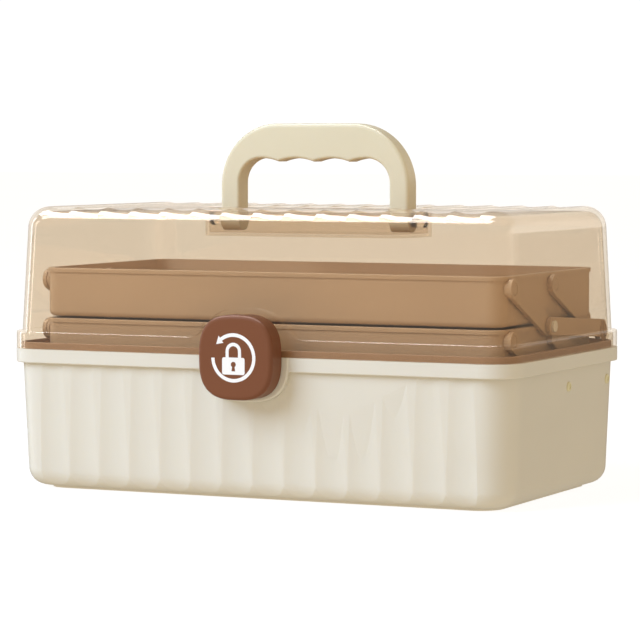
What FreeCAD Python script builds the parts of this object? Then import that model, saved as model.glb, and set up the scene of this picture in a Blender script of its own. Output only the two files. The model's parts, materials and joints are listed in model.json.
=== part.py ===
import FreeCAD, Part
import math
import os

# Three tier medicine box. Millimetres, X along the length, front towards -Y, Z up.
# The origin is the middle of the resting face of the base.

os.makedirs("parts", exist_ok=True)
V = FreeCAD.Vector

# Outer sizes of the rim, the widest line of the box, and their share of the photographed box
LENGTH = 330.0
DEPTH = 190.0
CORNER = 20.0
LONG = LENGTH / 330.0
DEEP = DEPTH / 190.0

# Heights of the base, from the table up
FOOT = 1.6
SEAM = 85.0
BAND_LOW = SEAM - 8.3
FOOT_INSET = 12.0
FOOT_WIDE = 6.0

# Base wall: how far each face lies inside the rim line
BASE_INSET_LOW = 5.6
BASE_INSET_HIGH = 2.8
BASE_WALL = 2.4
BASE_FLOOR = 2.6
BASE_ROUND = 11.0
BAND_EDGE = 0.8

# Locating ring in the mouth of the base
RING_OUT = 3.6
RING_IN = 5.4
RING_SEAT = 1.4
RING_RISE = 4.0

# Lid
LID_GAP = 0.3
SKIRT_LOW = SEAM + LID_GAP
SHOULDER = SEAM + 10.7
SHOULDER_THICK = 2.2
LID_TOP = SEAM + 85.7
LID_INSET_LOW = 2.9
LID_INSET_HIGH = 6.3
LID_WALL = 2.2
LID_ROOF = 3.0
LID_ROUND = 13.0
SKIRT_INSET = 0.15
SKIRT_WALL = 2.35

# Flutes on the front of the base and along the top of the lid
FLUTE_COUNT = 14
FLUTE_PITCH = 20.5 * LONG
FLUTE_SUNK = 0.1
BASE_FLUTE = 1.2
BASE_CREST = 5.0
LID_FLUTE = 1.35
LID_CREST = 1.5
FLUTE_LEAN = 0.044
FLUTE_BEND = 1.4
BASE_BEND = 3.0
CALM_LEFT = -50.0 * LONG
CALM_DEEP_X = 62.0
CALM_DEEP_Z = SEAM - 37.0
CALM_RIGHT = 123.0 * LONG
CALM_FADE = 15.0

# Carrying handle and the pocket that it stands in
GRIP_HALF = 63.0
GRIP_LEG = 12.6
GRIP_DEEP = 14.0
GRIP_CORNER = 38.0
GRIP_INNER_CORNER = 15.0
GRIP_EDGE = 2.5
GRIP_PIN = 2.0
GRIP_HEEL = 1.0
PIVOT_Z = LID_TOP - 7.2
GRIP_TOP = PIVOT_Z + 57.5
GRIP_UNDER = GRIP_TOP - 23.2
SCALLOP_PITCH = (GRIP_HALF - GRIP_LEG - GRIP_INNER_CORNER) * 0.67
SCALLOP_RISE = 2.1
RUN_FIT = 0.1
EAR_RADIUS = 5.0
POCKET_HALF_X = GRIP_HALF + 3.8
POCKET_HALF_Y = 24.0
POCKET_CORNER = 12.0
POCKET_FLOOR = PIVOT_Z - 8.8
POCKET_SKIN = 2.0
PIN_GRIP = 5.0

# Trays
TRAY_HALF_X = LENGTH / 2.0 - 14.8
TRAY_FRONT = -73.0 * DEEP
TRAY_BACK = 77.0 * DEEP
TRAY_TALL = 29.5
TRAY_WALL = 1.8
TRAY_FLOOR = 1.8
TRAY_CORNER = 10.0
TRAY_FOOT_ROUND = 3.5
LIP_OUT = 0.8
LIP_TALL = 2.6
MIDDLE_Z = SEAM - 11.5
TRAY_STEP = TRAY_TALL + 1.0
UPPER_Z = MIDDLE_Z + TRAY_STEP

# Swing arms, one layer of plates outside the tray ends
ARM_IN = TRAY_HALF_X + LIP_OUT + 0.3
ARM_OUT = ARM_IN + 2.7
ARM_ROUND = 6.0
PIVOT_GAP = 65.0 * DEEP
LOWER_REACH = 66.5 * DEEP
LOWER_RISE = 30.0
UPPER_REACH = 53.0 * DEEP
TRAY_PIN_Y = -62.5 * DEEP
MIDDLE_PIN_Z = MIDDLE_Z + 22.5
UPPER_PIN_Z = UPPER_Z + 22.2
BASE_PIN_Y = TRAY_PIN_Y + LOWER_REACH
BASE_PIN_Z = MIDDLE_PIN_Z - LOWER_RISE
CARRY_PIN_Y = -9.0 * DEEP
CARRY_PIN_Z = MIDDLE_Z + 28.7
UPPER_PIN_Y = CARRY_PIN_Y - UPPER_REACH
ARM_PIN = 1.9
PIN_HEAD = 3.4
PIN_HEAD_DEEP = 1.2
HEAD_FIT = 0.3
WALL_HEAD = 2.9
BOSS_ROUND = 5.6
SOCKET_ROUND = 4.4
SOCKET_DEEP = 5.5

# Drive links between the lid and the middle tray
LINK_IN = ARM_OUT + 0.3
LINK_OUT = LINK_IN + 2.5
LINK_LEAD_Y = 0.72
LINK_LEAD_Z = 2.05
LINK_ROUND = 5.4
LINK_PIN = 1.5
LINK_EYE = 3.85
ANCHOR_Y = 75.5 * DEEP
ANCHOR_Z = SHOULDER - 1.2
ANCHOR_ROUND = 5.4
ANCHOR_IN = LINK_OUT + 0.5

# Hinge at the back
HINGE_Y = DEPTH / 2.0 + 3.1
HINGE_Z = SEAM - 2.6
KNUCKLE = 2.9
HINGE_ROD = 1.5
HINGE_NEAR = 70.0 * LONG
HINGE_FAR = 110.0 * LONG
KNUCKLE_LONG = 8.0
KNUCKLE_GAP = 0.4

# Turning latch on the front
LATCH_X = -1.6 * LONG
LATCH_Z = SEAM + 0.2
PAD_FACE = -DEPTH / 2.0 - 0.6
PAD_HALF_X = 28.0
PAD_HALF_Z = 26.6
ARCH_HALF = 28.0
SOFT_POWER = 2.8
BOSS_RADIUS = 9.5
NOTCH_FIT = 0.6
KNOB_HALF_X = 24.0
KNOB_HALF_Z = 24.8
KNOB_BACK = PAD_FACE - 0.5
KNOB_FACE = KNOB_BACK - 13.1
KNOB_WALL = 2.2
KNOB_EDGE = 2.6
SHAFT_RADIUS = 5.0
SHAFT_END = 6.0 - DEPTH / 2.0
CAM_OUT = 21.2
CAM_IN = 18.3
CAM_BACK = PAD_FACE - 0.8
CAM_DISC = CAM_BACK - 4.0
CAM_FACE = CAM_DISC - 1.6
STUD_RISE = 16.0
STUD_RADIUS = 1.8
STUD_TIP = CAM_DISC + 0.6
MOUTH_HALF = 4.2
SCREW_RADIUS = 1.5
SIGN_DEEP = 0.6
SIGN_X = LATCH_X - 0.6
SIGN_RADIUS = 14.3
SIGN_LINE = 2.1


def ring_wire(half_x, y_low, y_high, radius, z):
    """Closed rounded rectangle at height z."""
    r = radius
    k = r * (1.0 - math.sqrt(0.5))
    x = half_x
    edges = [
        Part.makeLine(V(-x + r, y_low, z), V(x - r, y_low, z)),
        Part.Arc(V(x - r, y_low, z), V(x - k, y_low + k, z), V(x, y_low + r, z)).toShape(),
        Part.makeLine(V(x, y_low + r, z), V(x, y_high - r, z)),
        Part.Arc(V(x, y_high - r, z), V(x - k, y_high - k, z), V(x - r, y_high, z)).toShape(),
        Part.makeLine(V(x - r, y_high, z), V(-x + r, y_high, z)),
        Part.Arc(V(-x + r, y_high, z), V(-x + k, y_high - k, z), V(-x, y_high - r, z)).toShape(),
        Part.makeLine(V(-x, y_high - r, z), V(-x, y_low + r, z)),
        Part.Arc(V(-x, y_low + r, z), V(-x + k, y_low + k, z), V(-x + r, y_low, z)).toShape(),
    ]
    return Part.Wire(edges)


def inset_wire(inset, z, radius):
    """Rounded rectangle that lies a given distance inside the rim line."""
    half_y = DEPTH / 2.0 - inset
    return ring_wire(LENGTH / 2.0 - inset, -half_y, half_y, radius, z)


def inset_prism(inset, z_low, z_high, radius):
    face = Part.Face(inset_wire(inset, z_low, radius))
    return face.extrude(V(0, 0, z_high - z_low))


def drafted(inset_low, z_low, inset_high, z_high, radius):
    """Solid whose walls lean evenly between two insets."""
    low = inset_wire(inset_low, z_low, radius)
    high = inset_wire(inset_high, z_high, radius)
    return Part.makeLoft([low, high], True, True)


def box(x0, x1, y0, y1, z0, z1):
    return Part.makeBox(x1 - x0, y1 - y0, z1 - z0, V(x0, y0, z0))


def rod_x(y, z, radius, x0, x1):
    """Cylinder along X between two stations."""
    return Part.makeCylinder(radius, abs(x1 - x0), V(min(x0, x1), y, z), V(1, 0, 0))


def rod_y(x, z, radius, y0, y1):
    return Part.makeCylinder(radius, y1 - y0, V(x, y0, z), V(0, 1, 0))


def edges_at(shape, axis, value, tolerance=0.01):
    """Edges that lie wholly in one plane across an axis."""
    found = []
    for edge in shape.Edges:
        b = edge.BoundBox
        low = (b.XMin, b.YMin, b.ZMin)[axis]
        high = (b.XMax, b.YMax, b.ZMax)[axis]
        if abs(low - value) < tolerance and abs(high - value) < tolerance:
            found.append(edge)
    return found


def round_at(shape, radius, axis, value, tolerance=0.01):
    return shape.makeFillet(radius, edges_at(shape, axis, value, tolerance))


def mirrored(shape):
    return shape.mirror(V(0, 0, 0), V(1, 0, 0))


def keep(shape, name):
    """Check a finished piece and write it out."""
    solids = shape.Solids
    if len(solids) != 1 or not shape.isValid():
        raise ValueError(name + " is not one sound solid: " + str(len(solids)))
    solids[0].exportStep("parts/" + name + ".step")


def pair(shape, name):
    """Write the right hand piece and its mirror image."""
    keep(shape, name + "_right")
    keep(mirrored(shape), name + "_left")


def flute_row(depth, crest, level, sign):
    """Arcs in plan: round hollows that meet in small round crests."""
    lean = 2.0 * math.atan(2.0 * depth / FLUTE_PITCH)
    reach = crest * math.sin(lean)
    dip = level + sign * crest * (1.0 - math.cos(lean))
    half = FLUTE_COUNT * FLUTE_PITCH / 2.0
    arcs = []
    for index in range(FLUTE_COUNT):
        x0 = -half + index * FLUTE_PITCH
        x1 = x0 + FLUTE_PITCH
        middle = ((x0 + x1) / 2.0, level + sign * depth)
        arcs.append([(x0 + reach, dip), middle, (x1 - reach, dip)])
        arcs.append([(x1 - reach, dip), (x1, level), (x1 + reach, dip)])
    return arcs[:-1]


def flute_face(depth, crest, level, sign, clear, place):
    """Cutting face: the row of hollows closed by a box on its open side."""
    arcs = flute_row(depth, crest, level + sign * FLUTE_SUNK, sign)
    parts = [Part.Arc(*[place(p) for p in arc]).toShape() for arc in arcs]
    first = arcs[0][0]
    last = arcs[-1][2]
    corners = [last, (last[0], level - sign * clear), (first[0], level - sign * clear), first]
    for start, end in zip(corners, corners[1:]):
        parts.append(Part.makeLine(place(start), place(end)))
    return Part.Face(Part.Wire(parts))


def soft_square(half_x, half_z, y0, y1):
    """Plate across Y with the outline of a square whose sides bulge into its corners."""
    points = []
    count = 48
    for index in range(count):
        turn = 2.0 * math.pi * index / count
        c = math.cos(turn)
        s = math.sin(turn)
        x = half_x * math.copysign(abs(c) ** (2.0 / SOFT_POWER), c)
        z = half_z * math.copysign(abs(s) ** (2.0 / SOFT_POWER), s)
        points.append(V(LATCH_X + x, y0, LATCH_Z + z))
    curve = Part.BSplineCurve()
    curve.interpolate(points, PeriodicFlag=True)
    return Part.Face(Part.Wire(curve.toShape())).extrude(V(0, y1 - y0, 0))


# The base


def base_outside():
    body = drafted(BASE_INSET_LOW, FOOT, BASE_INSET_HIGH, SEAM, CORNER)
    body = round_at(body, BASE_ROUND, 2, FOOT)
    body = body.cut(base_flutes().cut(calm_area()))
    band = inset_prism(0.0, BAND_LOW, SEAM, CORNER)
    band = round_at(band, BAND_EDGE, 2, BAND_LOW)
    return body.fuse(band)


def base_flutes():
    """Cutter down the front wall that bends in with the lower edge and runs out there."""
    bend_z = FOOT + BASE_ROUND
    draft = (BASE_INSET_LOW - BASE_INSET_HIGH) / (SEAM - FOOT)
    wall_y = BASE_INSET_LOW - draft * BASE_ROUND - DEPTH / 2.0
    face = flute_face(BASE_FLUTE, BASE_CREST, wall_y, 1.0, 12.0, lambda p: V(p[0], p[1], bend_z))
    upright = face.extrude(V(0, -FLUTE_LEAN * (BAND_LOW - bend_z), BAND_LOW - bend_z))
    centre = V(0, wall_y + BASE_ROUND + BASE_BEND, bend_z)
    return upright.fuse(face.revolve(centre, V(1, 0, 0), 70.0)).removeSplitter()


def calm_outline(y, grow):
    """Outline of the smooth part of the front wall: two arcs that meet low down, right of the latch."""
    low = V(CALM_DEEP_X, y, CALM_DEEP_Z - grow)
    left = V(CALM_LEFT - grow, y, BAND_LOW)
    right = V(CALM_RIGHT + grow, y, BAND_LOW)
    sag = 2.6
    left_middle = V((left.x + low.x) / 2.0, y, (BAND_LOW + low.z) / 2.0 - sag)
    right_middle = V((right.x + low.x) / 2.0, y, (BAND_LOW + low.z) / 2.0 - sag)
    top_right = V(right.x, y, SEAM + 5.0)
    top_left = V(left.x, y, SEAM + 5.0)
    edges = [
        Part.Arc(left, left_middle, low).toShape(),
        Part.Arc(low, right_middle, right).toShape(),
        Part.makeLine(right, top_right),
        Part.makeLine(top_right, top_left),
        Part.makeLine(top_left, left),
    ]
    return Part.Wire(edges)


def calm_area():
    """Smooth part of the front wall; it widens inwards, so the flutes run out softly."""
    wall = (BASE_INSET_LOW + BASE_INSET_HIGH - DEPTH) / 2.0
    reach = 1.6
    near = calm_outline(wall - reach, -reach * CALM_FADE)
    far = calm_outline(wall + reach, reach * CALM_FADE)
    return Part.makeLoft([near, far], True, True)


def foot_ring():
    outer = inset_prism(BASE_INSET_LOW + FOOT_INSET, 0.0, FOOT + 0.4, CORNER - 6.0)
    inner = inset_prism(BASE_INSET_LOW + FOOT_INSET + FOOT_WIDE, -1.0, FOOT + 1.0, CORNER - 10.0)
    return outer.cut(inner)


def base_cavity():
    low = BASE_INSET_LOW + BASE_WALL
    cavity = drafted(low, FOOT + BASE_FLOOR, RING_IN, SEAM, CORNER - RING_IN)
    cavity = round_at(cavity, BASE_ROUND - BASE_WALL, 2, FOOT + BASE_FLOOR)
    top = inset_prism(RING_IN, SEAM - 0.01, SEAM + 1.0, CORNER - RING_IN)
    return cavity.fuse(top)


def base_pivot_bosses():
    """Posts inside the end walls that space the lower arms from the wall."""
    inner = LENGTH / 2.0 - BASE_INSET_LOW
    bosses = []
    for y in (BASE_PIN_Y, BASE_PIN_Y + PIVOT_GAP):
        bosses.append(rod_x(y, BASE_PIN_Z, ARM_ROUND, ARM_OUT + 0.2, inner))
    return bosses


def base_shell():
    body = base_outside()
    body = body.fuse(foot_ring())
    seat = inset_prism(RING_OUT, SEAM - RING_SEAT, SEAM + 1.0, CORNER - RING_OUT)
    body = body.cut(base_cavity())
    body = body.cut(seat)
    for boss in base_pivot_bosses():
        body = body.fuse(boss)
        body = body.fuse(mirrored(boss))
    pad = soft_square(PAD_HALF_X, PAD_HALF_Z, PAD_FACE, RING_OUT - 0.2 - DEPTH / 2.0)
    pad = round_at(pad, 1.0, 1, PAD_FACE)
    pad = pad.common(box(-60.0, 60.0, -120.0, 0.0, 0.0, SEAM))
    body = body.fuse(pad)
    body = body.fuse(rod_y(LATCH_X, LATCH_Z, BOSS_RADIUS, PAD_FACE, SHAFT_END - 0.2))
    for x0, x1 in knuckle_spans(True):
        for side in (1.0, -1.0):
            body = body.fuse(base_knuckle(x0, x1, side))
    body = body.cut(rod_y(LATCH_X, LATCH_Z, SHAFT_RADIUS + RUN_FIT, -120.0, 0.0))
    body = body.cut(rod_x(HINGE_Y, HINGE_Z, HINGE_ROD, HINGE_NEAR - 1.0, HINGE_FAR + 1.0))
    body = body.cut(rod_x(HINGE_Y, HINGE_Z, HINGE_ROD, -HINGE_FAR - 1.0, -HINGE_NEAR + 1.0))
    for y in (BASE_PIN_Y, BASE_PIN_Y + PIVOT_GAP):
        for side in (1.0, -1.0):
            body = body.cut(rod_x(y, BASE_PIN_Z, ARM_PIN, side * (ARM_IN - 3.0), side * LENGTH / 2.0))
            head = base_head_station()
            body = body.cut(rod_x(y, BASE_PIN_Z, WALL_HEAD, side * head, side * (LENGTH / 2.0)))
    return body.removeSplitter()


def base_head_station():
    """Where the outer pin heads bear on the end wall of the base."""
    share = (BASE_PIN_Z - FOOT) / (SEAM - FOOT)
    inset = BASE_INSET_LOW + (BASE_INSET_HIGH - BASE_INSET_LOW) * share
    return LENGTH / 2.0 - inset - 0.4


def knuckle_spans(on_base):
    """Stations along X taken by the base knuckles or by the lid knuckle."""
    if on_base:
        return ((HINGE_NEAR, HINGE_NEAR + KNUCKLE_LONG), (HINGE_FAR - KNUCKLE_LONG, HINGE_FAR))
    return ((HINGE_NEAR + KNUCKLE_LONG + KNUCKLE_GAP, HINGE_FAR - KNUCKLE_LONG - KNUCKLE_GAP),)


def base_knuckle(x0, x1, side):
    web = box(x0, x1, DEPTH / 2.0 - 2.0, HINGE_Y, HINGE_Z - KNUCKLE, HINGE_Z + 0.6)
    shape = rod_x(HINGE_Y, HINGE_Z, KNUCKLE, x0, x1).fuse(web)
    return shape if side > 0 else mirrored(shape)


def mouth_ring():
    outer = inset_prism(RING_OUT, SEAM - RING_SEAT, SEAM + RING_RISE, CORNER - RING_OUT)
    outer = round_at(outer, 0.6, 2, SEAM + RING_RISE)
    inner = inset_prism(RING_IN, SEAM - 5.0, SEAM + 9.0, CORNER - RING_IN)
    half = BOSS_RADIUS + 1.5
    gap = box(LATCH_X - half, LATCH_X + half, -DEPTH, 0.0, 0.0, LID_TOP)
    return outer.cut(inner).cut(gap)


def base_pin(y):
    """Pin through the end wall, with a dished head outside and a collar inside the arm."""
    head = base_head_station()
    pin = rod_x(y, BASE_PIN_Z, ARM_PIN, ARM_IN - 0.9, head)
    cap = rod_x(y, BASE_PIN_Z, WALL_HEAD, head, head + 1.4)
    cap = round_at(cap, 0.5, 0, head + 1.4)
    cap = cap.cut(rod_x(y, BASE_PIN_Z, 1.6, head + 0.9, head + 3.0))
    collar = rod_x(y, BASE_PIN_Z, ARM_PIN + 0.8, ARM_IN - 0.9, ARM_IN - 0.1)
    return pin.fuse([cap, collar]).removeSplitter()


def hinge_rod():
    return rod_x(HINGE_Y, HINGE_Z, HINGE_ROD, HINGE_NEAR, HINGE_FAR)


# The lid


def lid_outside():
    body = drafted(LID_INSET_LOW, SHOULDER - SHOULDER_THICK, LID_INSET_HIGH, LID_TOP, CORNER - 1.0)
    body = round_at(body, LID_ROUND, 2, LID_TOP)
    body = body.cut(lid_flutes())
    skirt = inset_prism(SKIRT_INSET, SKIRT_LOW, SHOULDER, CORNER - SKIRT_INSET)
    skirt = round_at(skirt, 1.2, 2, SHOULDER)
    return body.fuse(skirt)


def lid_flutes():
    """Cutter along the top of the lid that bends down at the front and back and runs out there."""
    front = LID_INSET_HIGH + LID_ROUND - FLUTE_BEND - DEPTH / 2.0
    face = flute_face(LID_FLUTE, LID_CREST, LID_TOP, -1.0, 6.0, lambda p: V(p[0], front, p[1]))
    flat = face.extrude(V(0, -2.0 * front, 0))
    bend = face.revolve(V(0, front, LID_TOP - LID_ROUND), V(1, 0, 0), 90.0)
    return flat.fuse([bend, bend.mirror(V(0, 0, 0), V(0, 1, 0))]).removeSplitter()


def lid_cavity():
    low = LID_INSET_LOW + LID_WALL
    high = LID_INSET_HIGH + LID_WALL
    main = drafted(low, SHOULDER - SHOULDER_THICK, high, LID_TOP - LID_ROOF, CORNER - 1.0 - LID_WALL)
    main = round_at(main, LID_ROUND - LID_WALL - 0.2, 2, LID_TOP - LID_ROOF)
    inset = SKIRT_INSET + SKIRT_WALL
    mouth = inset_prism(inset, SKIRT_LOW - 1.0, SHOULDER - SHOULDER_THICK, CORNER - inset)
    return main.fuse(mouth)


def pocket_block(grow, z_low, z_high):
    half_x = POCKET_HALF_X + grow
    half_y = POCKET_HALF_Y + grow
    wire = ring_wire(half_x, -half_y, half_y, POCKET_CORNER + grow, z_low)
    return Part.Face(wire).extrude(V(0, 0, z_high - z_low))


def lid_ears(body):
    """Short bosses on the pocket ends that carry the handle pins."""
    for side in (1.0, -1.0):
        inner = GRIP_HALF + 0.4
        outer = POCKET_HALF_X + PIN_GRIP
        ear = rod_x(0.0, PIVOT_Z, EAR_RADIUS, side * inner, side * outer)
        body = body.fuse(ear)
        body = body.cut(rod_x(0.0, PIVOT_Z, GRIP_PIN, side * (inner - 1.0), side * (outer - 1.0)))
    return body


def lid_arch():
    """Upper half of the latch surround, with flared feet on the shoulder."""
    skin = LID_INSET_LOW + LID_WALL - 1.0 - DEPTH / 2.0
    inner = SKIRT_INSET + SKIRT_WALL - DEPTH / 2.0
    plate = soft_square(ARCH_HALF, ARCH_HALF, PAD_FACE, skin)
    foot = 8.0
    wide = ARCH_HALF + foot
    flare = box(LATCH_X - wide, LATCH_X + wide, PAD_FACE, skin, SHOULDER - 2.0, SHOULDER + foot)
    for side in (1.0, -1.0):
        flare = flare.cut(rod_y(LATCH_X + side * wide, SHOULDER + foot, foot, -DEPTH, 0.0))
    plate = plate.fuse(flare)
    low = plate.common(box(-60.0, 60.0, -DEPTH, inner, SKIRT_LOW, SHOULDER))
    high = plate.common(box(-60.0, 60.0, -DEPTH, 0.0, SHOULDER - 1.0, LID_TOP))
    stud = rod_y(LATCH_X, LATCH_Z + STUD_RISE, STUD_RADIUS, STUD_TIP, PAD_FACE + 1.0)
    return low.fuse([high, stud])


def lid_anchor():
    """Tab inside each end wall that holds the pin of a drive link."""
    tab = ANCHOR_IN + 1.8
    wall = LENGTH / 2.0 - LID_INSET_LOW - 1.2
    disc = rod_x(ANCHOR_Y, ANCHOR_Z, ANCHOR_ROUND, ANCHOR_IN, tab)
    plate = box(ANCHOR_IN, tab, ANCHOR_Y - ANCHOR_ROUND, ANCHOR_Y + ANCHOR_ROUND, ANCHOR_Z, SHOULDER + 1.0)
    stem = box(ANCHOR_IN, wall, ANCHOR_Y - ANCHOR_ROUND, ANCHOR_Y + 1.5, SHOULDER - 1.5, SHOULDER + 6.0)
    return disc.fuse([plate, stem]).cut(rod_x(ANCHOR_Y, ANCHOR_Z, LINK_PIN, ANCHOR_IN - 1.0, ANCHOR_IN + 1.3))


def lid_knuckle(side):
    x0, x1 = knuckle_spans(False)[0]
    barrel = rod_x(HINGE_Y, HINGE_Z, KNUCKLE, x0, x1)
    web = box(x0, x1, DEPTH / 2.0 + 0.45, HINGE_Y + 0.8, HINGE_Z, SKIRT_LOW + 7.0)
    root = box(x0, x1, DEPTH / 2.0 - 1.0, HINGE_Y + 0.8, SKIRT_LOW + 0.7, SKIRT_LOW + 7.0)
    shape = barrel.fuse([web, root])
    shape = shape.cut(rod_x(HINGE_Y, HINGE_Z, HINGE_ROD + 0.05, x0 - 1.0, x1 + 1.0))
    return shape if side > 0 else mirrored(shape)


def lid_shell():
    body = lid_outside()
    hollow = lid_cavity().cut(pocket_block(LID_WALL, POCKET_FLOOR - POCKET_SKIN, LID_TOP + 5.0))
    body = body.cut(hollow)
    body = body.cut(pocket_block(0.0, POCKET_FLOOR, LID_TOP + 5.0))
    body = lid_ears(body)
    body = body.fuse(lid_arch())
    notch = rod_y(LATCH_X, LATCH_Z, BOSS_RADIUS + NOTCH_FIT, -120.0, -80.0)
    body = body.cut(notch)
    anchor = lid_anchor()
    body = body.fuse([anchor, mirrored(anchor), lid_knuckle(1.0), lid_knuckle(-1.0)])
    return body.removeSplitter()


def link_pin():
    """Pin in the lid tab with a broad inner head and a collar that covers the eye of the drive link."""
    shaft = rod_x(ANCHOR_Y, ANCHOR_Z, LINK_PIN, LINK_IN - 1.5, ANCHOR_IN + 1.3)
    head = rod_x(ANCHOR_Y, ANCHOR_Z, LINK_EYE + 1.1, LINK_IN - 1.5, LINK_IN - 0.2)
    collar = rod_x(ANCHOR_Y, ANCHOR_Z, LINK_EYE + 1.95, LINK_OUT + 0.1, ANCHOR_IN)
    return shaft.fuse([head, collar]).removeSplitter()


def handle_pin():
    return rod_x(0.0, PIVOT_Z, GRIP_PIN, GRIP_HALF - GRIP_LEG + 1.0, POCKET_HALF_X + PIN_GRIP - 1.0)


# The handle


def bow_outline():
    """Outer outline of the handle, closed along its foot."""
    half = GRIP_HALF
    top = GRIP_TOP
    low = PIVOT_Z - GRIP_HEEL
    r = GRIP_CORNER
    k = r * (1.0 - math.sqrt(0.5))
    edges = [
        Part.makeLine(V(-half, 0, low), V(-half, 0, top - r)),
        Part.Arc(V(-half, 0, top - r), V(-half + k, 0, top - k), V(-half + r, 0, top)).toShape(),
        Part.makeLine(V(-half + r, 0, top), V(half - r, 0, top)),
        Part.Arc(V(half - r, 0, top), V(half - k, 0, top - k), V(half, 0, top - r)).toShape(),
        Part.makeLine(V(half, 0, top - r), V(half, 0, low)),
        Part.makeLine(V(half, 0, low), V(-half, 0, low)),
    ]
    return Part.Wire(edges)


def finger_outline():
    """Opening under the grip: two full finger hollows in the middle, half hollows at the ends."""
    half = GRIP_HALF - GRIP_LEG
    r = GRIP_INNER_CORNER
    k = r * (1.0 - math.sqrt(0.5))
    high = GRIP_UNDER + SCALLOP_RISE
    pitch = SCALLOP_PITCH
    ease = 0.44 * (half - r - pitch)
    edges = [
        Part.makeLine(V(-half, 0, PIVOT_Z - 20.0), V(-half, 0, high - r)),
        Part.Arc(V(-half, 0, high - r), V(-half + k, 0, high - k), V(-half + r, 0, high)).toShape(),
        Part.Arc(V(-half + r, 0, high), V(-pitch - ease, 0, high - 0.65), V(-pitch, 0, GRIP_UNDER)).toShape(),
        Part.Arc(V(-pitch, 0, GRIP_UNDER), V(-0.5 * pitch, 0, high), V(0, 0, GRIP_UNDER)).toShape(),
        Part.Arc(V(0, 0, GRIP_UNDER), V(0.5 * pitch, 0, high), V(pitch, 0, GRIP_UNDER)).toShape(),
        Part.Arc(V(pitch, 0, GRIP_UNDER), V(pitch + ease, 0, high - 0.65), V(half - r, 0, high)).toShape(),
        Part.Arc(V(half - r, 0, high), V(half - k, 0, high - k), V(half, 0, high - r)).toShape(),
        Part.makeLine(V(half, 0, high - r), V(half, 0, PIVOT_Z - 20.0)),
        Part.makeLine(V(half, 0, PIVOT_Z - 20.0), V(-half, 0, PIVOT_Z - 20.0)),
    ]
    return Part.Wire(edges)


def bow_rims(bow, inside):
    """Face edges of the handle, either round the finger opening or round the outside."""
    half = GRIP_DEEP / 2.0
    rims = []
    for edge in edges_at(bow, 1, -half) + edges_at(bow, 1, half):
        if edge.BoundBox.ZMax < PIVOT_Z + 0.1:
            continue
        middle = edge.valueAt((edge.FirstParameter + edge.LastParameter) / 2.0)
        near_x = abs(middle.x) < GRIP_HALF - GRIP_LEG + 1.0
        near_z = middle.z < GRIP_UNDER + SCALLOP_RISE + 0.5
        if inside == (near_x and near_z):
            rims.append(edge)
    return rims


def handle():
    half = GRIP_DEEP / 2.0
    inner_half = GRIP_HALF - GRIP_LEG
    bow = Part.Face(bow_outline()).extrude(V(0, GRIP_DEEP, 0))
    bow = bow.cut(Part.Face(finger_outline()).extrude(V(0, GRIP_DEEP, 0)))
    bow.translate(V(0, -half, 0))
    bow = bow.makeFillet(GRIP_EDGE, bow_rims(bow, False))
    bow = bow.makeFillet(GRIP_EDGE - 0.7, bow_rims(bow, True))
    for side in (1.0, -1.0):
        bow = bow.fuse(rod_x(0.0, PIVOT_Z - GRIP_HEEL, half, side * inner_half, side * GRIP_HALF))
    for side in (1.0, -1.0):
        hole = rod_x(0.0, PIVOT_Z, GRIP_PIN + RUN_FIT, side * (inner_half - 1.0), side * (GRIP_HALF + 1.0))
        bow = bow.cut(hole)
    return bow.removeSplitter()


# The trays


def tray_body(z):
    """Open tray with a small rim lip."""
    wire = ring_wire(TRAY_HALF_X, TRAY_FRONT, TRAY_BACK, TRAY_CORNER, z)
    body = Part.Face(wire).extrude(V(0, 0, TRAY_TALL))
    body = round_at(body, TRAY_FOOT_ROUND, 2, z)
    lip_wire = ring_wire(TRAY_HALF_X + LIP_OUT, TRAY_FRONT - LIP_OUT, TRAY_BACK + LIP_OUT,
                         TRAY_CORNER + LIP_OUT, z + TRAY_TALL - LIP_TALL)
    lip = Part.Face(lip_wire).extrude(V(0, 0, LIP_TALL))
    lip = round_at(lip, 0.7, 2, z + TRAY_TALL)
    body = body.fuse(lip)
    inner_wire = ring_wire(TRAY_HALF_X - TRAY_WALL, TRAY_FRONT + TRAY_WALL, TRAY_BACK - TRAY_WALL,
                           TRAY_CORNER - TRAY_WALL, z + TRAY_FLOOR)
    hollow = Part.Face(inner_wire).extrude(V(0, 0, TRAY_TALL))
    hollow = round_at(hollow, TRAY_FOOT_ROUND - 1.0, 2, z + TRAY_FLOOR)
    return body.cut(hollow)


def tray(z, pins, ears):
    """Tray with pin posts in its ends and, where asked for, ears that rise above its rim."""
    body = tray_body(z)
    wall_in = TRAY_HALF_X - TRAY_WALL
    wall_middle = TRAY_HALF_X - TRAY_WALL / 2.0
    for y, pin_z in pins:
        for side in (1.0, -1.0):
            post = rod_x(y, pin_z, BOSS_ROUND, side * wall_middle, side * (ARM_IN - 0.1))
            socket = rod_x(y, pin_z, SOCKET_ROUND, side * (TRAY_HALF_X - SOCKET_DEEP), side * wall_middle)
            body = body.fuse([post, socket])
            body = body.cut(rod_x(y, pin_z, ARM_PIN, side * socket_floor(), side * ARM_OUT))
    for y, pin_z in ears:
        for side in (1.0, -1.0):
            body = body.fuse(rod_x(y, pin_z, BOSS_ROUND, side * (TRAY_HALF_X + 0.2), side * (ARM_IN - 0.1)))
            body = body.cut(rod_x(y, pin_z, ARM_PIN, side * (wall_in - 1.0), side * ARM_OUT))
    return body.removeSplitter()


def socket_floor():
    """Inner end of the pins that sit in sockets."""
    return TRAY_HALF_X - SOCKET_DEEP + 1.2


def tray_pin(y, z, start):
    """Pin pressed in a tray end, its head sunk in the arm plate."""
    head_face = ARM_OUT - 0.05
    shaft = rod_x(y, z, ARM_PIN, start, head_face)
    head = rod_x(y, z, PIN_HEAD, head_face - PIN_HEAD_DEEP, head_face)
    return shaft.fuse(head).removeSplitter()


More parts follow.
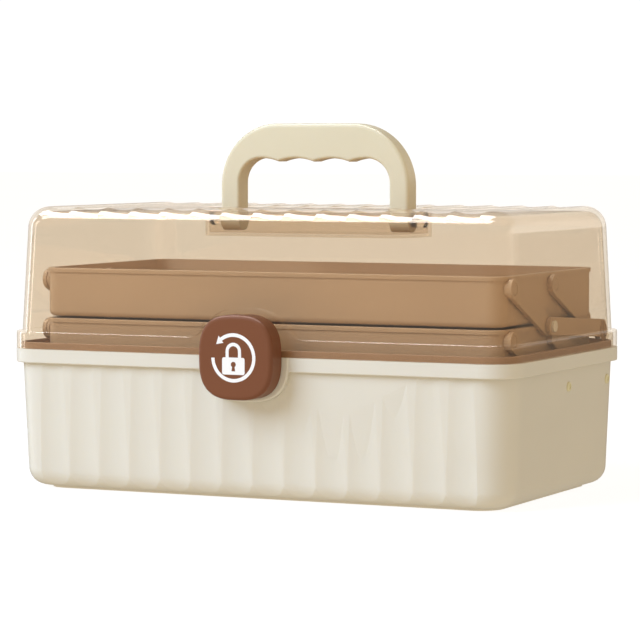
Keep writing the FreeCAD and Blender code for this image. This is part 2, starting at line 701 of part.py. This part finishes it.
def carry_pin():
    """Long front pin of the middle tray: carries an upper arm and a drive link."""
    y = CARRY_PIN_Y
    z = CARRY_PIN_Z
    shaft = rod_x(y, z, ARM_PIN, TRAY_HALF_X - TRAY_WALL, LINK_OUT + 0.1)
    head = rod_x(y, z, PIN_HEAD, LINK_OUT + 0.1, LINK_OUT + 1.7)
    head = round_at(head, 0.5, 0, LINK_OUT + 1.7)
    return shaft.fuse(head).removeSplitter()


# Arms and links


def slab(y0, z0, y1, z1, radius, x_in, x_out):
    """Plate with round ends between two centres, standing across X."""
    angle = math.atan2(z1 - z0, y1 - y0)
    ny = -math.sin(angle) * radius
    nz = math.cos(angle) * radius
    cy = math.cos(angle) * radius
    cz = math.sin(angle) * radius
    a = V(x_in, y0 + ny, z0 + nz)
    b = V(x_in, y1 + ny, z1 + nz)
    c = V(x_in, y1 - ny, z1 - nz)
    d = V(x_in, y0 - ny, z0 - nz)
    edges = [
        Part.makeLine(a, b),
        Part.Arc(b, V(x_in, y1 + cy, z1 + cz), c).toShape(),
        Part.makeLine(c, d),
        Part.Arc(d, V(x_in, y0 - cy, z0 - cz), a).toShape(),
    ]
    plate = Part.Face(Part.Wire(edges)).extrude(V(x_out - x_in, 0, 0))
    return round_at(plate, 0.4, 0, x_out)


def arm(y0, z0, y1, z1, sunk):
    """Swing arm from a lower centre to an upper centre; sunk lists the ends with recessed heads."""
    plate = slab(y0, z0, y1, z1, ARM_ROUND, ARM_IN, ARM_OUT)
    for y, z, deep in ((y0, z0, sunk[0]), (y1, z1, sunk[1])):
        plate = plate.cut(rod_x(y, z, ARM_PIN + RUN_FIT, ARM_IN - 1.0, ARM_OUT + 1.0))
        if deep:
            floor = ARM_OUT - 0.05 - PIN_HEAD_DEEP - 0.1
            plate = plate.cut(rod_x(y, z, PIN_HEAD + HEAD_FIT, floor, ARM_OUT + 1.0))
    return plate


def link_bar():
    y1 = ANCHOR_Y + LINK_LEAD_Y
    z1 = ANCHOR_Z + LINK_LEAD_Z
    bar = slab(CARRY_PIN_Y, CARRY_PIN_Z, y1, z1, LINK_ROUND, LINK_IN, LINK_OUT)
    bar = bar.cut(rod_x(CARRY_PIN_Y, CARRY_PIN_Z, ARM_PIN + RUN_FIT, LINK_IN - 1.0, LINK_OUT + 1.0))
    return bar.cut(rod_x(y1, z1, LINK_EYE, LINK_IN - 1.0, LINK_OUT + 1.0))


# The latch


def latch_knob():
    body = soft_square(KNOB_HALF_X, KNOB_HALF_Z, KNOB_FACE, KNOB_BACK)
    body = round_at(body, KNOB_EDGE, 1, KNOB_FACE)
    inner_x = KNOB_HALF_X - KNOB_WALL
    inner_z = KNOB_HALF_Z - KNOB_WALL
    hollow = soft_square(inner_x, inner_z, KNOB_FACE + KNOB_WALL + 0.2, KNOB_BACK + 1.0)
    body = body.cut(hollow)
    body = body.fuse(rod_y(LATCH_X, LATCH_Z, SHAFT_RADIUS + 1.0, KNOB_FACE + KNOB_WALL, CAM_FACE))
    for x in (LATCH_X - 13.0, LATCH_X + 13.0):
        body = body.fuse(rod_y(x, LATCH_Z, 2.4, KNOB_FACE + KNOB_WALL, CAM_FACE))
    gate = box(LATCH_X - MOUTH_HALF, LATCH_X + MOUTH_HALF, CAM_DISC - 0.2, 0.0, LATCH_Z, LATCH_Z + 40.0)
    body = body.cut(gate)
    body = body.cut(arrow_sign())
    return body.cut(lock_sign()).removeSplitter()


def sign_plate(corners):
    """Flat plate let into the knob face, from its corners round the sign's middle."""
    points = [V(SIGN_X + x, KNOB_FACE, LATCH_Z + z) for x, z in corners]
    return Part.Face(Part.makePolygon(points + points[:1])).extrude(V(0, SIGN_DEEP, 0))


def polar(radius, degrees):
    return (radius * math.cos(math.radians(degrees)), radius * math.sin(math.radians(degrees)))


def sign_disc(x, z, radius):
    return rod_y(SIGN_X + x, LATCH_Z + z, radius, KNOB_FACE, KNOB_FACE + SIGN_DEEP)


def arrow_sign():
    """Turning arrow: three quarters of a ring that ends in a point."""
    middle = SIGN_RADIUS - SIGN_LINE / 2.0
    ring = sign_disc(0.0, 0.0, SIGN_RADIUS).cut(sign_disc(0.0, 0.0, SIGN_RADIUS - SIGN_LINE))
    gap = sign_plate([(0.0, 0.0), polar(2.0 * SIGN_RADIUS, 128.0), polar(2.0 * SIGN_RADIUS, 181.0)])
    tip = sign_plate([polar(middle - 2.6, 127.0), polar(middle + 2.6, 127.0), polar(middle + 0.3, 145.0)])
    return ring.cut(gap).fuse(tip).removeSplitter()


def lock_sign():
    """Plain closed lock in the middle of the arrow, with a keyhole."""
    plate = sign_plate([(-7.3, -9.8), (7.3, -9.8), (7.3, 0.2), (-7.3, 0.2)])
    upright = [edge for edge in plate.Edges if edge.BoundBox.YLength > SIGN_DEEP / 2.0]
    plate = plate.makeFillet(1.2, upright)
    bow = sign_disc(0.0, 3.8, 5.0).fuse(sign_plate([(-5.0, -1.0), (5.0, -1.0), (5.0, 3.8), (-5.0, 3.8)]))
    bow = bow.cut(sign_disc(0.0, 3.8, 3.0))
    bow = bow.cut(sign_plate([(-3.0, -2.0), (3.0, -2.0), (3.0, 3.8), (-3.0, 3.8)]))
    lock = plate.fuse(bow)
    lock = lock.cut(sign_disc(0.0, -3.9, 1.6))
    return lock.cut(sign_plate([(-0.7, -4.5), (-1.2, -7.8), (1.2, -7.8), (0.7, -4.5)])).removeSplitter()


def latch_cam():
    """Shaft, disc and open collar; the collar traps the lid stud once the knob is turned."""
    shaft = rod_y(LATCH_X, LATCH_Z, SHAFT_RADIUS, CAM_FACE, SHAFT_END)
    disc = rod_y(LATCH_X, LATCH_Z, CAM_OUT, CAM_FACE, CAM_DISC)
    collar = rod_y(LATCH_X, LATCH_Z, CAM_OUT, CAM_DISC, CAM_BACK)
    collar = collar.cut(rod_y(LATCH_X, LATCH_Z, CAM_IN, CAM_DISC - 1.0, CAM_BACK + 1.0))
    gate = box(LATCH_X - MOUTH_HALF, LATCH_X + MOUTH_HALF, CAM_DISC, 0.0, LATCH_Z + 8.0, LATCH_Z + 40.0)
    body = shaft.fuse([disc, collar.cut(gate)])
    return body.cut(rod_y(LATCH_X, LATCH_Z, SCREW_RADIUS, CAM_DISC + 1.0, 0.0)).removeSplitter()


def latch_washer():
    plate = rod_y(LATCH_X, LATCH_Z, 7.5, SHAFT_END, SHAFT_END + 1.0)
    return plate.cut(rod_y(LATCH_X, LATCH_Z, SCREW_RADIUS, SHAFT_END - 1.0, SHAFT_END + 2.0))


def latch_screw():
    shank = rod_y(LATCH_X, LATCH_Z, SCREW_RADIUS, SHAFT_END - 7.0, SHAFT_END + 1.0)
    head = rod_y(LATCH_X, LATCH_Z, 3.1, SHAFT_END + 1.0, SHAFT_END + 2.8)
    head = round_at(head, 0.6, 1, SHAFT_END + 2.8)
    for turn in (0.0, 90.0):
        slot = box(-0.5, 0.5, SHAFT_END + 1.9, SHAFT_END + 4.0, -1.9, 1.9)
        slot.translate(V(LATCH_X, 0, LATCH_Z))
        slot.rotate(V(LATCH_X, 0, LATCH_Z), V(0, 1, 0), turn)
        head = head.cut(slot)
    return shank.fuse(head).removeSplitter()


# Write every piece

keep(base_shell(), "base_shell")
keep(mouth_ring(), "mouth_ring")
pair(base_pin(BASE_PIN_Y), "base_pin_front")
pair(base_pin(BASE_PIN_Y + PIVOT_GAP), "base_pin_rear")
pair(hinge_rod(), "hinge_rod")

keep(lid_shell(), "lid_shell")
pair(link_pin(), "link_pin")
pair(handle_pin(), "handle_pin")
keep(handle(), "handle")

SWING_Y = TRAY_PIN_Y + PIVOT_GAP
CARRY_REAR_Y = CARRY_PIN_Y + PIVOT_GAP

pins_middle = ((TRAY_PIN_Y, MIDDLE_PIN_Z), (SWING_Y, MIDDLE_PIN_Z))
pins_carry = ((CARRY_PIN_Y, CARRY_PIN_Z), (CARRY_REAR_Y, CARRY_PIN_Z))
pins_upper = ((UPPER_PIN_Y, UPPER_PIN_Z), (UPPER_PIN_Y + PIVOT_GAP, UPPER_PIN_Z))

keep(tray(MIDDLE_Z, pins_middle, pins_carry), "middle_tray")
keep(tray(UPPER_Z, pins_upper, ()), "upper_tray")
wall_start = TRAY_HALF_X - TRAY_WALL
pair(tray_pin(TRAY_PIN_Y, MIDDLE_PIN_Z, socket_floor()), "middle_pin_front")
pair(tray_pin(SWING_Y, MIDDLE_PIN_Z, socket_floor()), "middle_pin_rear")
pair(carry_pin(), "carry_pin_front")
pair(tray_pin(CARRY_REAR_Y, CARRY_PIN_Z, wall_start), "carry_pin_rear")
pair(tray_pin(UPPER_PIN_Y, UPPER_PIN_Z, socket_floor()), "upper_pin_front")
pair(tray_pin(UPPER_PIN_Y + PIVOT_GAP, UPPER_PIN_Z, socket_floor()), "upper_pin_rear")

pair(arm(BASE_PIN_Y, BASE_PIN_Z, TRAY_PIN_Y, MIDDLE_PIN_Z, (False, True)), "lower_front_arm")
pair(arm(BASE_PIN_Y + PIVOT_GAP, BASE_PIN_Z, SWING_Y, MIDDLE_PIN_Z, (False, True)), "lower_rear_arm")
pair(arm(CARRY_PIN_Y, CARRY_PIN_Z, UPPER_PIN_Y, UPPER_PIN_Z, (False, True)), "upper_front_arm")
pair(arm(CARRY_REAR_Y, CARRY_PIN_Z, UPPER_PIN_Y + PIVOT_GAP, UPPER_PIN_Z, (True, True)), "upper_rear_arm")
pair(link_bar(), "drive_link")

keep(latch_knob(), "latch_knob")
keep(arrow_sign(), "latch_arrow")
keep(lock_sign(), "latch_lock_sign")
keep(latch_cam(), "latch_cam")
keep(latch_washer(), "latch_washer")
keep(latch_screw(), "latch_screw")
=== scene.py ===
"""Looks of the medicine box: moulded cream base, tinted clear lid, brown trays and arms, turning latch."""
import json
import math

import bpy
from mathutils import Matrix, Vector

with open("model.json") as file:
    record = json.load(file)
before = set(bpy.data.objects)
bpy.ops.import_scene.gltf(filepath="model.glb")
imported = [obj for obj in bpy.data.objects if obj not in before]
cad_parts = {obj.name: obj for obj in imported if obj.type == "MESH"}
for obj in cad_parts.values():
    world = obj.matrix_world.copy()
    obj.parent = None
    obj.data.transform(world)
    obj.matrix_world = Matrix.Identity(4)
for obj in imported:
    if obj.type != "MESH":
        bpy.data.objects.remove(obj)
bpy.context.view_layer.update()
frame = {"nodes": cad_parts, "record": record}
NODES = frame["nodes"]

# Colours of the mouldings, linear; the mouth ring's tone also holds painted shade and the front pin heads'
# tone painted light
CREAM_TONE = (0.735, 0.69, 0.583)
GRIP_TONE = (0.735, 0.665, 0.475)
BROWN_TONE = (0.61, 0.432, 0.28)
# Mouth ring: its own brown, darkened past the trays' brown as painted shade of the lid's lower edge
RING_TONE_WITH_PAINTED_SHADE = (0.455, 0.287, 0.173)
KNOB_TONE = (0.205, 0.075, 0.035)
PIN_TONE = (0.76, 0.70, 0.46)
# Front carry pin heads: pale pins of their own, made near-white beyond the other pins as painted light on
# the heads
PIN_HEAD_PAINTED_LIGHT_TONE = (0.96, 0.92, 0.83)
PRINT_TONE = (0.90, 0.89, 0.87)
SUBSURFACE_RADIUS = (0.004, 0.0032, 0.0022)

# Surface of the mouldings: flow clouding, patches of gloss and fine grain, in waves per metre
CLOUD_SCALE = 14.0
CLOUD_STRETCH = (1.0, 1.0, 2.2)
PATCH_SCALE = 55.0
GRAIN_SCALE = 2600.0
GRAIN_DEPTH = 0.0002

# Drawn steel, dark and bright streaks
STEEL_DARK = (0.42, 0.41, 0.40)
STEEL_BRIGHT = (0.62, 0.61, 0.60)
STREAK_SCALE = 900.0
STREAK_STRETCH = (0.05, 1.0, 1.0)
STEEL_ROUGHNESS = (0.22, 0.42)

# The clear lid: what one surface lets through, on the walls and on the thin skin of the recess
LID_THROUGH = (0.902, 0.862, 0.80)
RECESS_THROUGH = (0.94, 0.90, 0.85)
LID_HAZE_TONE = (0.86, 0.77, 0.66)
LID_HAZE = 0.02
LID_EDGE_HAZE = 0.6
LID_HAZE_POWER = 5.0
LID_GLOSS = 0.10
LID_GLOSS_ROUGHNESS = 0.09
LID_ROUGHNESS = (0.03, 0.08)
LID_CLOUD_SCALE = 9.0
LID_CLOUD_DARKER = 0.985
LID_PATCH_SCALE = 40.0
CLEAR_IOR = 1.5
RECESS_CALM = 0.7

# Where the skin of the handle's recess is, in metres in the lid's own frame
RECESS_HALF_X = 0.0695
RECESS_HALF_Y = 0.0265
RECESS_LOW = 0.150
RECESS_FADE = 0.001

# Light
KEY_PLACE = (-1.20, -1.66, 1.53)
KEY_SIZE = (1.6, 1.6)
KEY_POWER = 60.0
KEY_COLOUR = (0.60, 0.77, 1.05)
TOP_PLACE = (-0.95, 0.05, 2.05)
TOP_SIZE = (2.8, 1.0)
TOP_POWER = 80.0
SIDE_PLACE = (-1.9, 0.0, 0.3)
SIDE_SIZE = (0.3, 1.6)
SIDE_POWER = 7.0
FROM_ABOVE = (0.70, 0.604, 0.475)
FROM_BELOW = (0.95, 0.85, 0.70)
DIM = (0.12, 0.114, 0.106)
BACKDROP = (0.95, 0.92, 0.88)
BACKGROUND = 1.05
KEY_AIM = (0, 0, 0.1)
SIDE_AIM = (0, 0, 0.12)
FILL_BLEND = 0.2

# Where the white backdrop starts and ends in reflections, as parts of a unit direction
BACKDROP_BEHIND = (0.2, 0.6)
BACKDROP_ABOVE = (0.03, 0.06)
BACKDROP_BELOW = (0.5, 0.25)

# Floor
FLOOR_SIZE = 30.0
FLOOR_DROP = 0.0002
FLOOR_LOW = (0.25, 0.25, 0.25)
FLOOR_HIGH = (0.26, 0.26, 0.26)
FLOOR_GLOW = 0.86
FLOOR_ROUGHNESS = 0.9
FLOOR_PATCH_SCALE = 3.0

# Camera, fitted to the photograph
CAMERA_PLACE = (0.7978, -1.6771, 0.2120)
CAMERA_DOWN = 3.41
CAMERA_SIDE = 25.4
CAMERA_LENS = 171.6
CAMERA_SENSOR = 36.0
CAMERA_NEAR = 0.05


# Materials

def new_material(name):
    mat = bpy.data.materials.new(name)
    mat.use_nodes = True
    tree = mat.node_tree
    tree.nodes.clear()
    return mat, tree


def add(tree, kind, x=0, y=0, **values):
    node = tree.nodes.new(kind)
    node.location = (x, y)
    for key, value in values.items():
        setattr(node, key, value)
    return node


def object_noise(tree, scale, detail=3.0, roughness=0.55, stretch=None):
    """Noise in the part's own frame, so it stays with the surface."""
    coords = add(tree, "ShaderNodeTexCoord", -1100, 0)
    out = coords.outputs["Object"]
    if stretch is not None:
        mapping = add(tree, "ShaderNodeMapping", -920, 0)
        mapping.inputs["Scale"].default_value = stretch
        tree.links.new(out, mapping.inputs["Vector"])
        out = mapping.outputs["Vector"]
    noise = add(tree, "ShaderNodeTexNoise", -740, 0)
    noise.inputs["Scale"].default_value = scale
    noise.inputs["Detail"].default_value = detail
    noise.inputs["Roughness"].default_value = roughness
    tree.links.new(out, noise.inputs["Vector"])
    return noise.outputs["Fac"]


def ramp(tree, fac, low, high, x=-500, y=0, start=0.3, end=0.7):
    node = add(tree, "ShaderNodeValToRGB", x, y)
    node.color_ramp.elements[0].position = start
    node.color_ramp.elements[1].position = end
    node.color_ramp.elements[0].color = (*low, 1.0)
    node.color_ramp.elements[1].color = (*high, 1.0)
    tree.links.new(fac, node.inputs["Fac"])
    return node.outputs["Color"]


def number_ramp(tree, fac, low, high, x=-500, y=-250):
    node = add(tree, "ShaderNodeMapRange", x, y)
    node.inputs["To Min"].default_value = low
    node.inputs["To Max"].default_value = high
    tree.links.new(fac, node.inputs["Value"])
    return node.outputs["Result"]


def plastic(name, colour, spread, rough, bump=0.03, ior=1.5, under=0.0):
    """Moulded plastic: faint flow clouding, uneven gloss and a fine eroded texture."""
    mat, tree = new_material(name)
    low = tuple(c * (1.0 - spread) for c in colour)
    high = tuple(min(1.0, c * (1.0 + spread)) for c in colour)
    cloud = object_noise(tree, CLOUD_SCALE, 2.0, 0.5, CLOUD_STRETCH)
    shader = add(tree, "ShaderNodeBsdfPrincipled", 0, 0)
    tree.links.new(ramp(tree, cloud, low, high), shader.inputs["Base Color"])
    patch = object_noise(tree, PATCH_SCALE, 4.0, 0.6)
    tree.links.new(number_ramp(tree, patch, *rough), shader.inputs["Roughness"])
    fine = object_noise(tree, GRAIN_SCALE, 2.0, 0.6)
    bumps = add(tree, "ShaderNodeBump", -250, -400)
    bumps.inputs["Strength"].default_value = bump
    bumps.inputs["Distance"].default_value = GRAIN_DEPTH
    tree.links.new(fine, bumps.inputs["Height"])
    tree.links.new(bumps.outputs["Normal"], shader.inputs["Normal"])
    shader.inputs["IOR"].default_value = ior
    if under:
        shader.inputs["Subsurface Weight"].default_value = under
        shader.inputs["Subsurface Radius"].default_value = SUBSURFACE_RADIUS
        shader.inputs["Subsurface Scale"].default_value = 1.0
    out = add(tree, "ShaderNodeOutputMaterial", 300, 0)
    tree.links.new(shader.outputs["BSDF"], out.inputs["Surface"])
    return mat


def inside_span(tree, value, half, soft, x, y):
    """One where the distance of a value from zero is under half, falling to nothing over soft."""
    size = add(tree, "ShaderNodeMath", x, y, operation="ABSOLUTE")
    tree.links.new(value, size.inputs[0])
    fade = add(tree, "ShaderNodeMapRange", x + 170, y)
    fade.inputs["From Min"].default_value = half
    fade.inputs["From Max"].default_value = half + soft
    fade.inputs["To Min"].default_value = 1.0
    fade.inputs["To Max"].default_value = 0.0
    tree.links.new(size.outputs[0], fade.inputs["Value"])
    return fade.outputs["Result"]


def pocket_mask(tree):
    """One on the thin skin of the handle recess, nothing on the rest of the lid."""
    coords = add(tree, "ShaderNodeTexCoord", -1900, 700)
    split = add(tree, "ShaderNodeSeparateXYZ", -1720, 700)
    tree.links.new(coords.outputs["Object"], split.inputs[0])
    along = inside_span(tree, split.outputs["X"], RECESS_HALF_X, RECESS_FADE, -1540, 900)
    across = inside_span(tree, split.outputs["Y"], RECESS_HALF_Y, RECESS_FADE, -1540, 700)
    high = add(tree, "ShaderNodeMapRange", -1370, 500)
    high.inputs["From Min"].default_value = RECESS_LOW
    high.inputs["From Max"].default_value = RECESS_LOW + RECESS_FADE
    tree.links.new(split.outputs["Z"], high.inputs["Value"])
    both = add(tree, "ShaderNodeMath", -1180, 800, operation="MULTIPLY")
    tree.links.new(along, both.inputs[0])
    tree.links.new(across, both.inputs[1])
    whole = add(tree, "ShaderNodeMath", -1010, 700, operation="MULTIPLY")
    tree.links.new(both.outputs[0], whole.inputs[0])
    tree.links.new(high.outputs["Result"], whole.inputs[1])
    return whole.outputs[0]


def clear_tint(name, through, thin, haze_colour):
    """Clear tinted plastic: coloured see-through body, a little haze, and gloss that grows at a slant."""
    mat, tree = new_material(name)
    glass = add(tree, "ShaderNodeBsdfTransparent", 0, 150)
    cloud = object_noise(tree, LID_CLOUD_SCALE, 2.0, 0.5)
    low = tuple(c * LID_CLOUD_DARKER for c in through)
    tone = ramp(tree, cloud, low, through, -300, 150)
    blend = add(tree, "ShaderNodeMix", -150, 300, data_type="RGBA")
    pocket = pocket_mask(tree)
    tree.links.new(pocket, blend.inputs["Factor"])
    tree.links.new(tone, blend.inputs["A"])
    blend.inputs["B"].default_value = (*thin, 1.0)
    tree.links.new(blend.outputs["Result"], glass.inputs["Color"])
    skin = add(tree, "ShaderNodeBsdfPrincipled", 0, -150)
    skin.inputs["Base Color"].default_value = (*haze_colour, 1.0)
    skin.inputs["IOR"].default_value = CLEAR_IOR
    patch = object_noise(tree, LID_PATCH_SCALE, 3.0, 0.5)
    tree.links.new(number_ramp(tree, patch, *LID_ROUGHNESS), skin.inputs["Roughness"])
    slant = add(tree, "ShaderNodeLayerWeight", -700, 420)
    slant.inputs["Blend"].default_value = 0.5
    curve = add(tree, "ShaderNodeMath", -520, 420, operation="POWER")
    curve.inputs[1].default_value = LID_HAZE_POWER
    tree.links.new(slant.outputs["Facing"], curve.inputs[0])
    amount = add(tree, "ShaderNodeMapRange", -340, 420)
    amount.inputs["To Min"].default_value = LID_HAZE
    amount.inputs["To Max"].default_value = LID_EDGE_HAZE
    tree.links.new(curve.outputs[0], amount.inputs["Value"])
    mix = add(tree, "ShaderNodeMixShader", 220, 0)
    tree.links.new(amount.outputs["Result"], mix.inputs["Fac"])
    tree.links.new(glass.outputs["BSDF"], mix.inputs[1])
    tree.links.new(skin.outputs["BSDF"], mix.inputs[2])
    gloss = add(tree, "ShaderNodeBsdfGlossy", 220, -260)
    gloss.inputs["Roughness"].default_value = LID_GLOSS_ROUGHNESS
    gloss.inputs["Color"].default_value = (LID_GLOSS, LID_GLOSS, LID_GLOSS, 1.0)
    shine = add(tree, "ShaderNodeAddShader", 420, -100)
    tree.links.new(mix.outputs["Shader"], shine.inputs[0])
    tree.links.new(gloss.outputs["BSDF"], shine.inputs[1])
    calm = add(tree, "ShaderNodeMath", 420, 200, operation="MULTIPLY")
    calm.inputs[1].default_value = RECESS_CALM
    tree.links.new(pocket, calm.inputs[0])
    quiet = add(tree, "ShaderNodeMixShader", 620, 0)
    tree.links.new(calm.outputs[0], quiet.inputs["Fac"])
    tree.links.new(shine.outputs["Shader"], quiet.inputs[1])
    tree.links.new(glass.outputs["BSDF"], quiet.inputs[2])
    out = add(tree, "ShaderNodeOutputMaterial", 820, 0)
    tree.links.new(quiet.outputs["Shader"], out.inputs["Surface"])
    return mat


def drawn_steel(name):
    mat, tree = new_material(name)
    streak = object_noise(tree, STREAK_SCALE, 3.0, 0.6, STREAK_STRETCH)
    shader = add(tree, "ShaderNodeBsdfPrincipled", 0, 0)
    shader.inputs["Metallic"].default_value = 1.0
    tree.links.new(ramp(tree, streak, STEEL_DARK, STEEL_BRIGHT), shader.inputs["Base Color"])
    tree.links.new(number_ramp(tree, streak, *STEEL_ROUGHNESS), shader.inputs["Roughness"])
    out = add(tree, "ShaderNodeOutputMaterial", 300, 0)
    tree.links.new(shader.outputs["BSDF"], out.inputs["Surface"])
    return mat


CREAM = plastic("cream_moulding", CREAM_TONE, 0.01, (0.36, 0.48), under=0.1)
GRIP_CREAM = plastic("cream_grip", GRIP_TONE, 0.01, (0.32, 0.44), under=0.1)
BROWN = plastic("brown_moulding", BROWN_TONE, 0.02, (0.36, 0.46), bump=0.01)
# Mouth ring: brown moulding darkened as painted shade
RING_BROWN_WITH_PAINTED_SHADE = plastic("brown_ring_painted_shade", RING_TONE_WITH_PAINTED_SHADE, 0.02, (0.36, 0.46), bump=0.01)
KNOB = plastic("knob_moulding", KNOB_TONE, 0.03, (0.34, 0.44), bump=0.015, ior=1.35)
PIN = plastic("pin_moulding", PIN_TONE, 0.02, (0.26, 0.36))
# Front carry pin heads: paler copy of the pin moulding, its extra brightness painted light
PIN_HEAD_PAINTED_LIGHT = plastic("link_pin_head_painted_light", PIN_HEAD_PAINTED_LIGHT_TONE, 0.01, (0.22, 0.32))
WHITE = plastic("white_inlay", PRINT_TONE, 0.01, (0.4, 0.5))
STEEL = drawn_steel("drawn_steel")
TINT = clear_tint("tinted_clear", LID_THROUGH, RECESS_THROUGH, LID_HAZE_TONE)

FINISHES = {
    "cream_plastic": CREAM,
    "tinted_clear_plastic": TINT,
    "brown_plastic": BROWN,
    "knob_plastic": KNOB,
    "white_print": WHITE,
    "pin_plastic": PIN,
    "steel": STEEL,
}

OWN_FINISH = {
    "handle": GRIP_CREAM,
    "handle_pin_left": GRIP_CREAM,
    "handle_pin_right": GRIP_CREAM,
    # The mouth ring takes the darker brown, which is painted shade
    "mouth_ring": RING_BROWN_WITH_PAINTED_SHADE,
    # The front carry pins take the near-white copy, which carries painted light
    "carry_pin_front_left": PIN_HEAD_PAINTED_LIGHT,
    "carry_pin_front_right": PIN_HEAD_PAINTED_LIGHT,
}
SLOT_OF = {part["node"]: part["material_slot"] for part in frame["record"]["subparts"]}
for name, obj in NODES.items():
    finish = OWN_FINISH.get(name, FINISHES[SLOT_OF[name]])
    for slot in obj.material_slots:
        slot.link = "OBJECT"
        slot.material = finish


# Floor, light and camera

def floor_material():
    mat, tree = new_material("floor")
    shader = add(tree, "ShaderNodeBsdfPrincipled", 0, 0)
    speck = object_noise(tree, FLOOR_PATCH_SCALE, 2.0, 0.5)
    tree.links.new(ramp(tree, speck, FLOOR_LOW, FLOOR_HIGH), shader.inputs["Base Color"])
    shader.inputs["Roughness"].default_value = FLOOR_ROUGHNESS
    shader.inputs["Specular IOR Level"].default_value = 0.0
    shader.inputs["Emission Color"].default_value = (1.0, 1.0, 1.0, 1.0)
    shader.inputs["Emission Strength"].default_value = FLOOR_GLOW
    out = add(tree, "ShaderNodeOutputMaterial", 300, 0)
    tree.links.new(shader.outputs["BSDF"], out.inputs["Surface"])
    return mat


bpy.ops.mesh.primitive_plane_add(size=FLOOR_SIZE, location=(0, 0, -FLOOR_DROP))
floor = bpy.context.object
floor.name = "floor"
floor.data.materials.append(floor_material())
floor.visible_diffuse = False
floor.visible_glossy = False


def area_light(name, place, turn, size, power, colour=(1.0, 1.0, 1.0)):
    """Softbox: size is its width along X and its depth, before it is turned."""
    data = bpy.data.lights.new(name, "AREA")
    data.shape = "RECTANGLE"
    data.size, data.size_y = size
    data.energy = power
    data.color = colour
    lamp = bpy.data.objects.new(name, data)
    lamp.location = place
    lamp.rotation_euler = turn
    bpy.context.scene.collection.objects.link(lamp)
    return lamp


def facing(place, target):
    return (Vector(target) - Vector(place)).to_track_quat("-Z", "Y").to_euler()


key = area_light("key", KEY_PLACE, facing(KEY_PLACE, KEY_AIM), KEY_SIZE, KEY_POWER, KEY_COLOUR)
key.visible_glossy = False
top = area_light("top", TOP_PLACE, (0.0, 0.0, 0.0), TOP_SIZE, TOP_POWER)
side = area_light("side", SIDE_PLACE, facing(SIDE_PLACE, SIDE_AIM), SIDE_SIZE, SIDE_POWER)
for lamp in (top, side):
    lamp.visible_diffuse = False


def between(tree, value, nothing, full, x, y):
    """Nothing at one value, one at the other, and a straight rise between them."""
    node = add(tree, "ShaderNodeMapRange", x, y)
    node.inputs["From Min"].default_value = nothing
    node.inputs["From Max"].default_value = full
    tree.links.new(value, node.inputs["Value"])
    return node.outputs["Result"]


def studio_world():
    """White to the camera, a warm fill all round, and in reflections dark but for a low white backdrop."""
    world = bpy.data.worlds.new("studio")
    world.use_nodes = True
    tree = world.node_tree
    tree.nodes.clear()
    path = add(tree, "ShaderNodeLightPath", -400, 300)
    coords = add(tree, "ShaderNodeTexCoord", -1000, 0)
    split = add(tree, "ShaderNodeSeparateXYZ", -820, 0)
    tree.links.new(coords.outputs["Generated"], split.inputs[0])
    height = add(tree, "ShaderNodeMapRange", -640, 0)
    height.inputs["From Min"].default_value = -FILL_BLEND
    height.inputs["From Max"].default_value = FILL_BLEND
    tree.links.new(split.outputs["Z"], height.inputs["Value"])
    fill = add(tree, "ShaderNodeBackground", -200, 0)
    fill_tone = ramp(tree, height.outputs["Result"], FROM_BELOW, FROM_ABOVE, -460, 0, 0.0, 1.0)
    tree.links.new(fill_tone, fill.inputs["Color"])
    seen = add(tree, "ShaderNodeBackground", -200, -150)
    seen.inputs["Color"].default_value = (1.0, 1.0, 1.0, 1.0)
    seen.inputs["Strength"].default_value = BACKGROUND
    behind = between(tree, split.outputs["Y"], *BACKDROP_BEHIND, -640, -300)
    above = between(tree, split.outputs["Z"], *BACKDROP_ABOVE, -640, -500)
    below_top = between(tree, split.outputs["Z"], *BACKDROP_BELOW, -640, -700)
    both = add(tree, "ShaderNodeMath", -460, -400, operation="MULTIPLY")
    tree.links.new(behind, both.inputs[0])
    tree.links.new(above, both.inputs[1])
    backdrop = add(tree, "ShaderNodeMath", -300, -500, operation="MULTIPLY")
    tree.links.new(both.outputs[0], backdrop.inputs[0])
    tree.links.new(below_top, backdrop.inputs[1])
    tone = ramp(tree, backdrop.outputs[0], DIM, BACKDROP, -460, -150, 0.0, 1.0)
    dim = add(tree, "ShaderNodeBackground", -200, -300)
    tree.links.new(tone, dim.inputs["Color"])
    glossy = add(tree, "ShaderNodeMixShader", 0, 0)
    tree.links.new(path.outputs["Is Glossy Ray"], glossy.inputs["Fac"])
    tree.links.new(fill.outputs[0], glossy.inputs[1])
    tree.links.new(dim.outputs[0], glossy.inputs[2])
    mix = add(tree, "ShaderNodeMixShader", 200, 0)
    tree.links.new(path.outputs["Is Camera Ray"], mix.inputs["Fac"])
    tree.links.new(glossy.outputs[0], mix.inputs[1])
    tree.links.new(seen.outputs[0], mix.inputs[2])
    out = add(tree, "ShaderNodeOutputWorld", 400, 0)
    tree.links.new(mix.outputs[0], out.inputs["Surface"])
    return world


bpy.context.scene.world = studio_world()
bpy.context.scene.view_settings.view_transform = "Standard"

camera_data = bpy.data.cameras.new("camera")
camera_data.lens = CAMERA_LENS
camera_data.sensor_width = CAMERA_SENSOR
camera_data.clip_start = CAMERA_NEAR
camera = bpy.data.objects.new("camera", camera_data)
camera.location = CAMERA_PLACE
camera.rotation_euler = (math.radians(90.0 - CAMERA_DOWN), 0.0, math.radians(CAMERA_SIDE))
bpy.context.scene.collection.objects.link(camera)
bpy.context.scene.camera = camera
